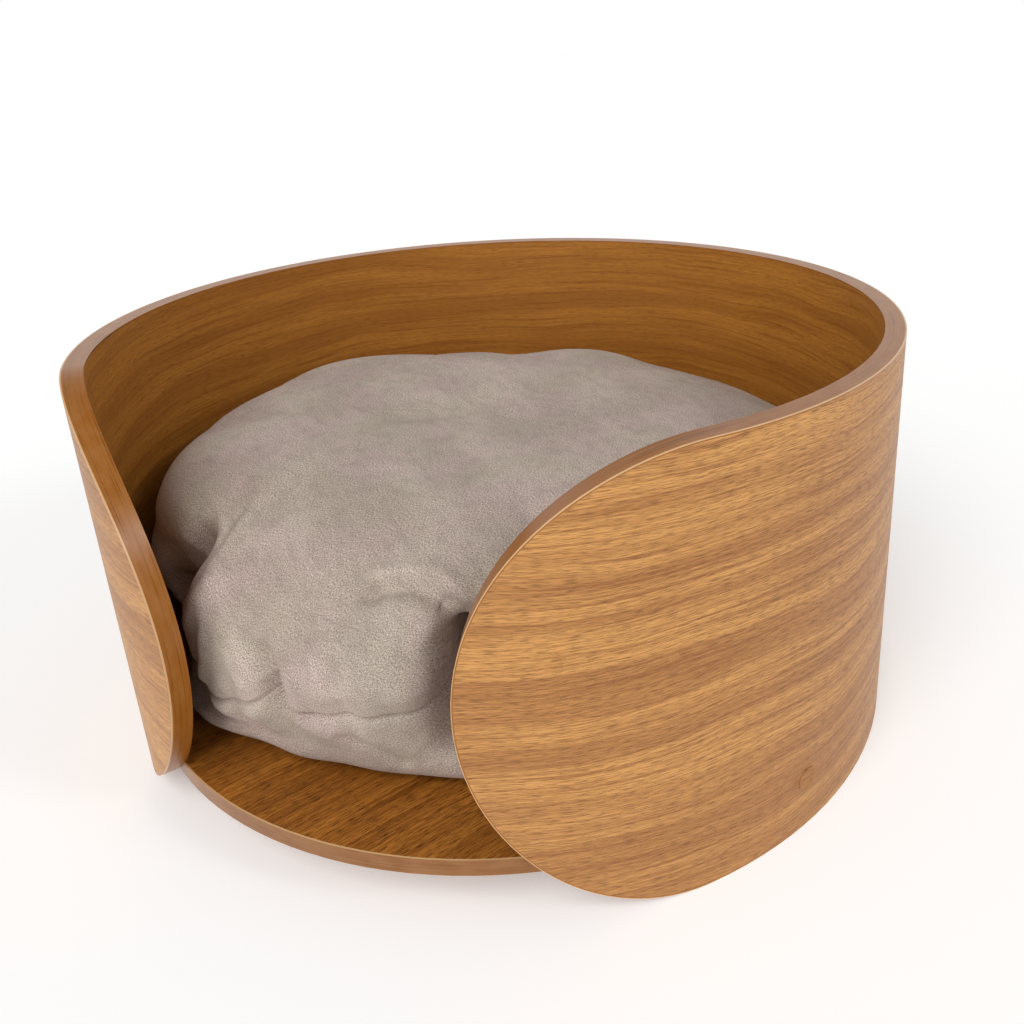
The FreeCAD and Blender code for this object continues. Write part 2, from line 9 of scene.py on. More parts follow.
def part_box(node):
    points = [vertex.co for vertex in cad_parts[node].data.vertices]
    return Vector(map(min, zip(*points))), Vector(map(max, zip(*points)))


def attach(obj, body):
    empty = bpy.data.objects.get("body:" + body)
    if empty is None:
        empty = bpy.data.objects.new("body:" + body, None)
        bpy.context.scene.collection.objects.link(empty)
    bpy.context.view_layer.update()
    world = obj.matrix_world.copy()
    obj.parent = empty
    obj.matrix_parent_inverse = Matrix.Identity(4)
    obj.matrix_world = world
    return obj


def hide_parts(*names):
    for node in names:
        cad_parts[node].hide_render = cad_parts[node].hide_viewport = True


# Looks for the round bentwood pet bed. Lengths are metres, unless a comment says millimetres.
# Angles round the bed are measured from -Y, the middle of the entrance, towards +X.

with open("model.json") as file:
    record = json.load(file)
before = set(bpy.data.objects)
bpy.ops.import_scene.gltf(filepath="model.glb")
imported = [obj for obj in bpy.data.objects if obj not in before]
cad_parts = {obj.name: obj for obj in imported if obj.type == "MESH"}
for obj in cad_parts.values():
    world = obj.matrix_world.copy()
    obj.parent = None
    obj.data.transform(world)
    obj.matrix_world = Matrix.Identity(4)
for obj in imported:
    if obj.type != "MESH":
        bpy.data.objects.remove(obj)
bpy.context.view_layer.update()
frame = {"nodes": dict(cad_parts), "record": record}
nodes = frame["nodes"]
rng = np.random.default_rng(5)

MM = 0.001
LOBE_TIP = math.radians(19.3)
CORE_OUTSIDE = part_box("wall_core")[1].x
WALL_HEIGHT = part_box("wall_edge_band")[1].z
LOBE_START = math.pi * CORE_OUTSIDE - LOBE_TIP * CORE_OUTSIDE - WALL_HEIGHT / 2
BASE_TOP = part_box("base_top_veneer")[1].z
HALF_BOARD = 0.005
CUSHION_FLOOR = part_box("cover_bottom_panel")[0].z


# ---------------------------------------------------------------- node materials

def srgb(red, green, blue):
    """Linear colour of an 8-bit display colour."""
    linear = []
    for value in (red / 255, green / 255, blue / 255):
        linear.append(value / 12.92 if value <= 0.04045 else ((value + 0.055) / 1.055) ** 2.4)
    return (*linear, 1.0)


class NodeTree:
    """A shader node tree that is built node by node."""

    def __init__(self, tree):
        self.tree = tree

    def add(self, kind, inputs, output=0, **settings):
        node = self.tree.nodes.new("ShaderNode" + kind)
        for name, value in settings.items():
            setattr(node, name, value)
        for name, value in inputs.items():
            if isinstance(value, bpy.types.NodeSocket):
                self.tree.links.new(value, node.inputs[name])
            else:
                node.inputs[name].default_value = value
        return node.outputs[output]

    def calc(self, operation, *values):
        return self.add("Math", dict(enumerate(values)), operation=operation)

    def vector(self, x, y, z=0.0):
        return self.add("CombineXYZ", {"X": x, "Y": y, "Z": z})

    def parts(self, vector, axes="XYZ"):
        """The components of a vector."""
        return [self.add("SeparateXYZ", {"Vector": vector}, output=axis) for axis in axes]

    def turned(self, vector, degrees):
        """X and Y of a vector that is turned about Z."""
        turn = self.add("VectorRotate", {"Vector": vector, "Angle": math.radians(degrees)},
                        rotation_type="Z_AXIS")
        return self.parts(turn, "XY")

    def noise(self, x, y, z=0.0, detail=2.0, roughness=0.5):
        place = self.vector(x, y, z)
        return self.add("TexNoise", {"Vector": place, "Scale": 1.0, "Detail": detail, "Roughness": roughness})

    def stretched(self, u, v, length, width, seed, detail):
        """Noise whose marks are about as long as a length along u and as wide as a width along v."""
        x = self.calc("MULTIPLY", u, 1 / length)
        y = self.calc("MULTIPLY", v, 1 / width)
        return self.noise(x, y, seed, detail)

    def remap(self, value, low, high, new_low=0.0, new_high=1.0):
        sockets = {"Value": value, "From Min": low, "From Max": high, "To Min": new_low, "To Max": new_high}
        return self.add("MapRange", sockets, interpolation_type="SMOOTHSTEP")

    def mix(self, factor, first, second, mode="MIX"):
        return self.add("Mix", {0: factor, 6: first, 7: second}, output=2, data_type="RGBA", blend_type=mode)

    def bump(self, height, distance, strength):
        return self.add("Bump", {"Height": height, "Distance": distance, "Strength": strength})


class Shader(NodeTree):
    """One procedural material."""

    def __init__(self, name):
        self.material = bpy.data.materials.new(name)
        self.material.use_nodes = True
        self.material.node_tree.nodes.clear()
        super().__init__(self.material.node_tree)

    def surface(self, **sockets):
        """The finished material, from the named sockets of a Principled shader."""
        inputs = {name.replace("_", " "): value for name, value in sockets.items()}
        shader = self.add("BsdfPrincipled", inputs)
        output = self.tree.nodes.new("ShaderNodeOutputMaterial")
        self.tree.links.new(shader, output.inputs["Surface"])
        return self.material


def place_of(shader):
    """X, Y and Z of the shaded point in the row frame."""
    return shader.parts(shader.add("TexCoord", {}, output="Object"))


def round_the_wall(shader):
    """Length along the wall from its middle, height, and radius."""
    x, y, z = place_of(shader)
    along = shader.calc("MULTIPLY", shader.calc("ARCTAN2", x, y), CORE_OUTSIDE)
    squares = shader.calc("ADD", shader.calc("MULTIPLY", x, x), shader.calc("MULTIPLY", y, y))
    return along, z, shader.calc("SQRT", squares)


# Dark marks of the wood: wide bands, thin streaks and fine lines. Each has a length along the grain,
# a width across it, a seed, a detail, the two noise values between which it fades in, and a strength.
WOOD_MARKS = (
    (0.40, 0.014, 1.0, 3.0, 0.36, 0.64, 0.50),
    (0.11, 0.0024, 2.0, 3.0, 0.50, 0.68, 0.58),
    (0.045, 0.0010, 3.0, 2.0, 0.42, 0.62, 0.34),
)
PORE_LENGTH = 0.0075
PORE_WIDTH = 0.00044
GRAIN_DRIFT = 0.026


def grain(shader, along, across, seed, light, dark, pore, depth):
    """Wood-grain colour and relief: the dark marks, with short pores along the grain."""
    drift = shader.stretched(along, across, 1 / 5.0, 1 / 9.0, seed, 2.0)
    wavy = shader.calc("MULTIPLY_ADD", drift, GRAIN_DRIFT, across)
    colour = light
    for length, width, step, detail, low, high, strength in WOOD_MARKS:
        mark = shader.remap(shader.stretched(along, wavy, length, width, seed + step, detail), low, high)
        colour = shader.mix(shader.calc("MULTIPLY", mark, strength), colour, dark)
    pores = shader.remap(shader.stretched(along, wavy, PORE_LENGTH, PORE_WIDTH, seed + 4.0, 2.0), 0.48, 0.64)
    colour = shader.mix(shader.calc("MULTIPLY", pores, depth), colour, pore)
    return colour, shader.calc("SUBTRACT", 1.0, pores)


def veneer(name, seed, light, dark, pore, depth=0.5, direction=None, roughness=0.42, gloss=0.3):
    """Wood-grain veneer: round the wall, or straight across a board in a direction."""
    shader = Shader(name)
    if direction is None:
        along, across, _ = round_the_wall(shader)
    else:
        x, y, _ = place_of(shader)
        along, across = shader.turned(shader.vector(x, y), direction)
    colour, relief = grain(shader, along, across, seed, light, dark, pore, depth)
    return shader.surface(Base_Color=colour, Roughness=roughness, Normal=shader.bump(relief, 0.0002, 0.45),
                          Specular_IOR_Level=gloss)


def edge_band(name, body, line, pore, layout):
    """Edge band: fine lengthwise grain, and a pale line where its own edge shows on the broad face."""
    shader = Shader(name)
    lengthwise, across, on_line = layout(shader, *round_the_wall(shader))
    fine = shader.noise(shader.calc("MULTIPLY", lengthwise, 9.0), shader.calc("MULTIPLY", across, 1500.0),
                        1.0, 3.0)
    mottle = shader.noise(shader.calc("MULTIPLY", lengthwise, 60.0), shader.calc("MULTIPLY", across, 160.0),
                          2.0, 2.0)
    colour = shader.mix(shader.remap(fine, 0.52, 0.68, 0.0, 0.80), body, pore)
    colour = shader.mix(shader.remap(mottle, 0.3, 0.7, 0.0, 0.10), colour, line)
    colour = shader.mix(on_line, colour, line)
    return shader.surface(Base_Color=colour, Roughness=0.30, Specular_IOR_Level=0.40,
                          Normal=shader.bump(fine, 0.0001, 0.15))


def wall_layout(shader, along, height, radius):
    """Length and width of the wall's band, and its pale line round the outline of the outside."""
    lengthwise = shader.calc("ADD", along, height)
    beyond = shader.calc("MAXIMUM", shader.calc("SUBTRACT", shader.calc("ABSOLUTE", along), LOBE_START), 0.0)
    above = shader.calc("SUBTRACT", height, WALL_HEIGHT / 2)
    squares = shader.calc("MULTIPLY_ADD", beyond, beyond, shader.calc("MULTIPLY", above, above))
    edge = WALL_HEIGHT / 2
    rim = shader.remap(shader.calc("SQRT", squares), edge - 0.0004, edge - 0.0003)
    outside = shader.remap(radius, CORE_OUTSIDE - 0.0001, CORE_OUTSIDE - 0.00002)
    return lengthwise, radius, shader.calc("MULTIPLY", rim, outside)


def board_layout(shader, along, height, radius):
    """Length and width of the board's band, and its pale lines on the top and the bottom."""
    from_middle = shader.calc("ABSOLUTE", shader.calc("SUBTRACT", height, BASE_TOP - HALF_BOARD))
    return along, height, shader.remap(from_middle, HALF_BOARD - 0.00008, HALF_BOARD - 0.00001)


CLOTH_DARK = srgb(126, 115, 109)
CLOTH_LIGHT = srgb(226, 213, 203)
WHITE = (1, 1, 1, 1)


def fabric():
    """Short-pile upholstery cloth: light and dark slubs, a soft nap and faint warm and cool patches."""
    shader = Shader("taupe_cloth")
    u, v = shader.turned(shader.add("TexCoord", {}, output="UV"), 38)
    slub = shader.stretched(u, v, 0.00042, 0.0011, 1.0, 1.0)
    thread = shader.stretched(u, v, 0.0009, 0.00040, 4.0, 1.0)
    patches = shader.stretched(u, v, 0.050, 0.060, 2.0, 3.0)
    wear = shader.stretched(u, v, 0.075, 0.050, 9.0, 2.0)
    marks = shader.stretched(u, v, 0.010, 0.007, 5.0, 3.0)
    speckle = shader.calc("MULTIPLY_ADD", slub, 0.6, shader.calc("MULTIPLY", thread, 0.4))
    colour = shader.mix(shader.remap(speckle, 0.30, 0.70), CLOTH_DARK, CLOTH_LIGHT)
    tint = shader.mix(shader.remap(patches, 0.38, 0.62), srgb(255, 246, 244), srgb(250, 249, 240))
    colour = shader.mix(1.0, colour, tint, "MULTIPLY")
    shade = shader.mix(shader.remap(wear, 0.36, 0.62, 0.0, 0.30), WHITE, srgb(190, 182, 178))
    colour = shader.mix(1.0, colour, shade, "MULTIPLY")
    colour = shader.mix(shader.remap(marks, 0.42, 0.70, 0.0, 0.22), colour, CLOTH_DARK)
    return shader.surface(Base_Color=colour, Roughness=0.95, Sheen_Weight=0.12, Sheen_Roughness=0.5,
                          Sheen_Tint=srgb(225, 214, 204), Specular_IOR_Level=0.1,
                          Normal=shader.bump(speckle, 0.0006, 0.6))


def plain(name, colour, roughness, grain_size, contrast=0.12):
    """A plain material with faint mottling."""
    shader = Shader(name)
    x, y, z = (shader.calc("MULTIPLY", axis, 1 / grain_size) for axis in place_of(shader))
    mottle = shader.noise(x, y, z)
    dark = tuple(value * 0.6 for value in colour[:3]) + (1.0,)
    shade = shader.mix(shader.remap(mottle, 0.3, 0.7, 0.0, contrast * 2), colour, dark)
    return shader.surface(Base_Color=shade, Roughness=roughness, Normal=shader.bump(mottle, 0.0002, 0.2))


def plies(name):
    """Plywood: thin layers, light and dark by turns."""
    shader = Shader(name)
    along, height, radius = round_the_wall(shader)
    layers = shader.calc("SINE", shader.calc("MULTIPLY", radius, 2 * math.pi / 0.0024))
    fibre = shader.noise(shader.calc("MULTIPLY", along, 90.0), shader.calc("MULTIPLY", radius, 1500.0),
                         height)
    colour = shader.mix(shader.remap(layers, -0.3, 0.3), srgb(205, 172, 128), srgb(168, 128, 84))
    colour = shader.mix(shader.remap(fibre, 0.4, 0.7, 0.0, 0.4), colour, srgb(140, 100, 60))
    return shader.surface(Base_Color=colour, Roughness=0.7)


def brushed(name, colour):
    """Metal with fine level scratches."""
    shader = Shader(name)
    x, y, z = (shader.calc("MULTIPLY", axis, scale)
               for axis, scale in zip(place_of(shader), (300.0, 300.0, 6000.0)))
    lines = shader.noise(x, y, z)
    roughness = shader.remap(lines, 0.3, 0.7, 0.28, 0.42)
    return shader.surface(Base_Color=colour, Metallic=1.0, Roughness=roughness,
                          Normal=shader.bump(lines, 0.00005, 0.2))


def make_materials():
    """Every material slot of the record, by name, and two looks that share a slot; the inside veneer's darker
    colours are painted shade.
    """
    outside = (srgb(206, 150, 85), srgb(137, 81, 41), srgb(84, 47, 18))
    # The inside face is the same wood as the outside face. Its darker colours are painted shade: the shade
    # that falls inside the round wall.
    shaded_inside = (srgb(178, 118, 46), srgb(136, 80, 26), srgb(96, 52, 14))
    board = (srgb(184, 118, 46), srgb(106, 54, 13), srgb(46, 18, 2))
    cream = srgb(210, 168, 118)
    return {
        "wall_veneer": veneer("wall_veneer", 11.0, *outside),
        "wall_veneer_painted_shade_inside": veneer("wall_veneer_painted_shade_inside", 23.0, *shaded_inside, 0.35, roughness=0.40, gloss=0.2),
        "base_veneer": veneer("base_veneer", 37.0, *board, 0.7, direction=-62.0, gloss=0.15),
        "edge_band": edge_band("edge_band", srgb(149, 89, 22), cream, srgb(90, 48, 12), wall_layout),
        "board_band": edge_band("board_band", srgb(136, 86, 38), cream, srgb(104, 62, 24), board_layout),
        "plywood": plies("plywood"),
        "screw_steel": brushed("screw_steel", srgb(200, 198, 192)),
        "zip_metal": brushed("zip_metal", srgb(168, 164, 158)),
        "cap_film": veneer("cap_film", 11.0, *outside, roughness=0.55),
        "fibre_filling": plain("fibre_filling", srgb(236, 234, 228), 0.95, 0.004),
        "liner_cloth": plain("liner_cloth", srgb(216, 210, 200), 0.9, 0.001),
        "label_cloth": plain("label_cloth", srgb(228, 226, 220), 0.8, 0.001),
        "zip_tape": plain("zip_tape", srgb(150, 136, 124), 0.85, 0.0008, 0.3),
        "zip_nylon": plain("zip_nylon", srgb(138, 124, 112), 0.45, 0.0015),
        "cover_fabric": fabric(),
    }


def paint_cad_nodes(materials):
    slots = {part["node"]: part["material_slot"] for part in frame["record"]["subparts"]}
    # The inside veneer look is the wall veneer darkened with painted shade.
    looks = {"wall_inner_veneer": "wall_veneer_painted_shade_inside", "base_edge_band": "board_band"}
    for name, item in nodes.items():
        item.data.materials.clear()
        item.data.materials.append(materials[looks.get(name, slots[name])])


# ------------------------------------------------------------------------ cushion

SPOKES = 360
TOP_RINGS = 96
BOTTOM_RINGS = 60
FINE_TOP_RINGS = 170
FINE_BOTTOM_RINGS = 110
CURVE_STEPS = 24
CROWD = 1.3
SETTLE_FRAMES = 18
TOP_GIVE = 0.012
BOTTOM_GIVE = 0.007
KEEP_FREE = 0.228
KEEP_LIMIT = 0.2355

# The zip: degrees from the back to either end, and millimetres from the seam to the cloth's open edge.
ZIP_REACH = 50.3
ZIP_GAP = 7.4

# The cushion's outline: pairs of degrees from the entrance and millimetres.
SEAM_RADIUS = [(-70, 218), (-46, 209), (-34, 215), (-24, 223), (-16, 222), (-9.5, 214), (-6, 218), (1, 219),
               (6, 216), (11, 211), (16, 204), (25, 205), (45, 221), (125, 221), (180, 220.5), (235, 221)]
SEAM_HEIGHT = [(-60, 92), (-36, 84), (-24, 80.5), (-20, 82.5), (-16, 88), (-13, 93), (-9.5, 103), (-7, 97.5),
               (-3, 97.5), (1, 99), (6, 100), (11, 101.5), (16, 105), (24, 104), (34, 101), (125, 99.7),
               (235, 99.7)]
BELLY_RADIUS = [(-80, 230), (-62, 231), (-53, 230), (-47, 225), (-42, 212), (-35, 218), (-26, 223),
                (-16, 219), (-8, 217), (4, 219), (12, 215), (18, 209), (28, 216), (50, 229), (110, 230),
                (180, 227), (250, 230)]
SHOULDER_RADIUS = [(-114, 214), (-95, 208), (-75, 209), (-57, 214), (-47, 214), (-38, 203), (-28, 195),
                   (-14, 189), (0, 188), (15, 189), (30, 192), (60, 200), (90, 200), (120, 191), (140, 182),
                   (161, 176), (176, 190), (194, 180), (215, 180), (232, 196)]
CROWN_HEIGHT = [(-110, 188), (-70, 186), (-30, 182), (0, 180), (40, 181), (90, 179), (120, 178), (140, 177),
                (160, 177), (175, 182), (200, 183), (225, 185)]
FOOT_RADIUS = [(-60, 208), (-46, 205), (-37, 213), (-31, 209), (-23, 197), (-12, 190), (-4, 184), (6, 181),
               (16, 180), (40, 190), (80, 200), (180, 206), (260, 206)]
MIDDLE_HEIGHT = 185.0

# Folds and swellings: depth and width in millimetres, then the path as (degrees, radius, height).
FOLDS = (
    (6, 8, (-23, 214, 150), (-26, 222, 134), (-29, 225, 118), (-30, 223, 100)),
    (-20, 11, (-32, 208, 160), (-34, 217, 147), (-38, 220, 132), (-42, 220, 112)),
    (-12, 8, (-9, 212, 98), (-9, 222, 110), (-11, 222, 124)),
    (4, 9, (-15, 222, 104), (-17, 223, 122)),
    (5, 8, (-5, 220, 104), (-5, 223, 122)),
    (-26, 13, (22, 214, 154), (20, 220, 140), (19.5, 220, 122), (20, 214, 106)),
    (7, 20, (0, 222, 124), (8, 222, 124)),
    (-6, 14, (-3, 212, 148), (2, 208, 150)),
    (3, 9, (-5, 214, 92), (-3, 211, 84)),
    (-3, 8, (-19, 219, 74), (-16, 210, 58)),
    (-4, 24, (6, 98, 184), (22, 120, 183)),
    (-4, 22, (-90, 40, 184), (-60, 70, 184)),
    (4, 14, (-62, 150, 184), (-30, 160, 182)),
)
# Creases and hollows that the filling does not push out again, pressed in after settling.
CREASES = (
    (3.2, 4, (-22.5, 222, 142), (-22.6, 224, 127), (-24, 225, 104), (-25.5, 222, 92)),
    (-3.0, 5, (-27.5, 221, 136), (-28, 221, 120), (-30, 219, 102)),
    (-12, 8, (-31, 209, 162), (-32.5, 218, 148), (-34, 222, 134)),
    (-10, 6, (-33, 218, 83), (-41, 212, 86)),
    (-46, 9.5, (17.4, 199, 133), (16.8, 197, 112), (17.0, 197, 92), (17.6, 197, 77)),
    (-7, 8, (19, 196, 148), (18, 198, 134)),
    (-3.0, 4, (-7.5, 214, 99), (-7.3, 221, 108), (-8, 223, 118)),
    (-3.0, 4, (0.3, 211, 81), (3.7, 205, 69), (7, 198, 58)),
    (1.5, 6, (2.0, 214, 88), (6.5, 210, 77), (10, 202, 66)),
)
# A wrinkle that arches over the front of the top panel, pressed in along its normals.
WRINKLES = (
    (3.0, 6, (4, 190, 165), (6, 187, 167), (8.5, 185, 169), (11, 184, 170), (14.5, 186, 169),
     (17.5, 190, 166.5), (19.5, 195, 158)),
    (-7.0, 6, (5, 192, 160), (6.4, 190, 161), (8.8, 189, 162.5), (11.3, 189, 162.5),
     (13.8, 190.5, 161.5), (16.2, 194, 158.5), (18, 197.5, 153.5)),
)


def smoothstep(value, low, high):
    t = np.clip((value - low) / (high - low), 0, 1)
    return t * t * (3 - 2 * t)


def spoke_angles(count=SPOKES):
    return np.arange(count) * 360 / count - 180


def zip_opening(count=SPOKES):
    """1 where the zip fills the seam, 0 elsewhere, for each spoke."""
    from_back = 180 - np.abs(spoke_angles(count))
    return 1 - smoothstep(from_back, ZIP_REACH - 1.0, ZIP_REACH + 0.8)


def from_seam(points):
    """Length of cloth between the seam and each point of a panel (ring, spoke, axis)."""
    steps = np.linalg.norm(np.diff(points, axis=0), axis=2)
    return np.concatenate([np.zeros((1, steps.shape[1])), np.cumsum(steps, axis=0)])


def around(angles, pairs, soften=6.0):
    """Smooth closed curve of a value against angle, through rough pairs of (degrees, value)."""
    places, values = zip(*sorted(pairs))
    rough = np.interp(angles, places, values, period=360)
    waves = np.fft.rfftfreq(len(angles), 1 / len(angles))
    return np.fft.irfft(np.fft.rfft(rough) * np.exp(-0.5 * (waves * math.radians(soften)) ** 2), len(angles))


def ripples(angles, wave_counts, size):
    """Seeded smooth unevenness round the cushion."""
    total = np.zeros(len(angles))
    for count in wave_counts:
        total += np.sin(np.radians(angles) * count + rng.uniform(0, 2 * math.pi)) * rng.uniform(0.4, 1.0)
    return total * size / math.sqrt(len(wave_counts))


def through(points, count, crowd=1.0):
    """Catmull-Rom curve down rows of points (row, spoke, axis), resampled; crowd > 1 packs the start."""
    rows = np.concatenate([2 * points[:1] - points[1:2], points, 2 * points[-1:] - points[-2:-1]])
    pieces = []
    for index in range(1, len(rows) - 2):
        before, start, end, after = rows[index - 1:index + 3]
        t = np.linspace(0, 1, CURVE_STEPS, endpoint=False)[:, None, None]
        bend = 2 * before - 5 * start + 4 * end - after
        twist = 3 * start - before - 3 * end + after
        pieces.append(0.5 * (2 * start + (end - before) * t + bend * t ** 2 + twist * t ** 3))
    curve = np.concatenate([*pieces, points[-1:]])
    length = from_seam(curve)
    wanted = np.linspace(0, 1, count) ** crowd
    result = np.empty((count, *curve.shape[1:]))
    for spoke in range(curve.shape[1]):
        share = length[:, spoke] / length[-1, spoke]
        for axis in range(curve.shape[2]):
            result[:, spoke, axis] = np.interp(wanted, share, curve[:, spoke, axis])
    return result


def refine(points, rings):
    """A settled panel on a grid with twice the spokes and rings packed towards the seam."""
    spread = np.fft.irfft(np.fft.rfft(points, axis=1), 2 * SPOKES, axis=1) * 2
    return through(spread, rings, CROWD)


def profile(rows):
    """Control points, in metres, from rows of (radius, height) that may vary from spoke to spoke."""
    columns = [[np.broadcast_to(np.asarray(value, float), SPOKES) for value in row] for row in rows]
    return np.array(columns).transpose(0, 2, 1) * MM


def panel_profiles():
    """Curves of radius and height for the top and the bottom panel, from the seam inwards."""
    angles = spoke_angles()
    free = 1 - zip_opening()
    seam_r = around(angles, SEAM_RADIUS, 2.0) + ripples(angles, (23, 31, 44, 59), 0.8) * free
    seam_z = around(angles, SEAM_HEIGHT, 2.0) + ripples(angles, (19, 28, 41, 53), 0.7) * free
    belly = around(angles, BELLY_RADIUS, 3.0) + ripples(angles, (9, 14, 20), 0.8)
    shoulder = around(angles, SHOULDER_RADIUS) + ripples(angles, (7, 11, 17), 0.9)
    crown = around(angles, CROWN_HEIGHT) + ripples(angles, (5, 9, 13), 0.5)
    foot = around(angles, FOOT_RADIUS, 4.0) + ripples(angles, (11, 17, 25), 1.2)
    floor = CUSHION_FLOOR / MM
    top = profile([(seam_r, seam_z), (0.5 * (belly + seam_r), seam_z + 8), (belly, 120), (belly - 5, 139),
                   (0.45 * belly + 0.55 * shoulder, 156), (shoulder - 4, crown - 12),
                   (shoulder - 28, crown - 2), (shoulder - 70, 0.5 * (crown + MIDDLE_HEIGHT) + 1),
                   (60, MIDDLE_HEIGHT), (3, MIDDLE_HEIGHT)])
    bottom = profile([(seam_r, seam_z), (seam_r - 2, seam_z - 9),
                      (0.55 * seam_r + 0.45 * foot, 50 + 0.32 * (seam_z - 50)),
                      (foot + 12, 50), (foot + 4, 42), (foot - 10, floor + 0.8), (foot - 40, floor),
                      (80, floor), (3, floor)])
    return through(top, TOP_RINGS), through(bottom, BOTTOM_RINGS)


def spin(curve):
    """Points in the row frame of a curve (ring, spoke, radius and height)."""
    angles = np.radians(spoke_angles())
    radius, height = curve[..., 0], curve[..., 1]
    return np.stack([radius * np.sin(angles), -radius * np.cos(angles), height], axis=-1)


def at(angle, radius, height):
    """A point in metres, from degrees and millimetres."""
    turn = math.radians(angle)
    return np.array([radius * math.sin(turn), -radius * math.cos(turn), height]) * MM


def distance_to(points, path):
    """Distance from each point to a row of joined straight stretches."""
    nearest = np.full(points.shape[:-1], np.inf)
    for start, end in zip(path[:-1], path[1:]):
        run = end - start
        share = np.clip((points - start) @ run / (run @ run), 0, 1)
        nearest = np.minimum(nearest, np.linalg.norm(points - start - share[..., None] * run, axis=-1))
    return nearest


def outward(points):
    """Unit normals of a grid of points (ring, spoke, axis)."""
    along = np.gradient(points, axis=0)
    wrapped = np.concatenate([points[:, -1:], points, points[:, :1]], axis=1)
    across = (wrapped[:, 2:] - wrapped[:, :-2]) / 2
    normal = np.cross(across, along)
    return normal / np.maximum(np.linalg.norm(normal, axis=-1, keepdims=True), 1e-9)


def relief(points, folds):
    """Height of a set of folds and swellings at each point, in metres."""
    offset = np.zeros(points.shape[:-1])
    for depth, width, *path in folds:
        near = distance_to(points, [at(*place) for place in path]) / (width * MM)
        offset += depth * MM * np.exp(-near ** 2)
    return offset


def stretch(points, offset):
    """Move points straight away from the bed's axis."""
    radius = np.maximum(np.linalg.norm(points[..., :2], axis=-1), 0.01)
    points[..., :2] *= (1 + offset / radius)[..., None]


def gathers(points, normals, count, size):
    """Small pleats that run from the seam into a panel, at seeded places away from the zip."""
    angles = spoke_angles()
    inwards = from_seam(points)
    offset = np.zeros(points.shape[:-1])
    for _ in range(count):
        centre = rng.uniform(-180, 180)
        width = rng.uniform(1.2, 3.0)
        depth = rng.uniform(0.4, 1.0) * size
        reach = rng.uniform(0.012, 0.045)
        lean = rng.uniform(-60, 60)
        away = (angles - centre - lean * inwards + 180) % 360 - 180
        offset -= depth * np.exp(-(away / width) ** 2) * np.exp(-(inwards / reach) ** 2)
    return points + normals * (offset * (1 - zip_opening()))[..., None]


def close_seam(top, bottom, rings=9):
    """Bring the two panels' edges to one line."""
    share = (1 - smoothstep(np.arange(rings), 0, rings))[:, None, None]
    gap = (bottom[0] - top[0]) / 2
    top[:rings] += gap * share
    bottom[:rings] -= gap * share


def open_zip(points, direction):
    """Lift a panel's edge off the seam line along the zip, which shows between the edges."""
    shift = ZIP_GAP * MM * zip_opening() * (1 - smoothstep(from_seam(points), 0.0, 0.045))
    points[..., 2] += direction * shift


def draw_in(points):
    """The stitching pulls both panels in along the seam: a sharp crease in a shallow valley."""
    inwards = from_seam(points)
    depth = 0.0024 * np.exp(-(inwards / 0.0012) ** 2) + 0.0012 * np.exp(-(inwards / 0.006) ** 2)
    stretch(points, -depth * (1 - zip_opening(points.shape[1])))


def keep_inside(points):
    """Stay off the wall, easing in from a free radius to a limit, and off the board."""
    radius = np.linalg.norm(points[..., :2], axis=-1)
    room = KEEP_LIMIT - KEEP_FREE
    over = np.maximum(radius - KEEP_FREE, 0)
    eased = np.where(over > 0, KEEP_FREE + room * (1 - np.exp(-over / room)), radius)
    points[..., :2] *= (eased / np.maximum(radius, 1e-6))[..., None]
    points[..., 2] = np.maximum(points[..., 2], CUSHION_FLOOR)


def grid_faces(rings, spokes):
    """Quads between neighbouring rings, and a fan that closes the centre."""
    faces = []
    for ring in range(rings - 1):
        for spoke in range(spokes):
            right = (spoke + 1) % spokes
            low, high = ring * spokes, (ring + 1) * spokes
            faces.append((low + spoke, low + right, high + right, high + spoke))
    last = (rings - 1) * spokes
    return faces + [(last + spoke, last + (spoke + 1) % spokes, rings * spokes) for spoke in range(spokes)]


def panel_object(name, points):
    """A round cloth panel with its UVs in metres of flat cloth."""
    rings, spokes = points.shape[:2]
    flat = np.vstack([points.reshape(-1, 3), points[-1].mean(axis=0)])
    mesh = bpy.data.meshes.new(name)
    mesh.from_pydata([tuple(place) for place in flat], [], grid_faces(rings, spokes))
    mesh.polygons.foreach_set("use_smooth", [True] * len(mesh.polygons))
    angles = np.radians(spoke_angles(spokes))
    inwards = from_seam(points)
    reach = inwards[-1] - inwards
    cloth = np.stack([reach * np.sin(angles), -reach * np.cos(angles)], axis=-1).reshape(-1, 2)
    cloth = np.vstack([cloth, [[0, 0]]])
    corners = np.empty(len(mesh.loops), np.int32)
    mesh.loops.foreach_get("vertex_index", corners)
    mesh.uv_layers.new(name="cloth").data.foreach_set("uv", cloth[corners].astype(np.float32).ravel())
    item = bpy.data.objects.new(name, mesh)
    bpy.context.scene.collection.objects.link(item)
    return item


def add_group(item, name, weights):
    group = item.vertex_groups.new(name=name)
    for index, weight in enumerate(weights):
        if weight > 0:
            group.add([index], float(weight), "REPLACE")


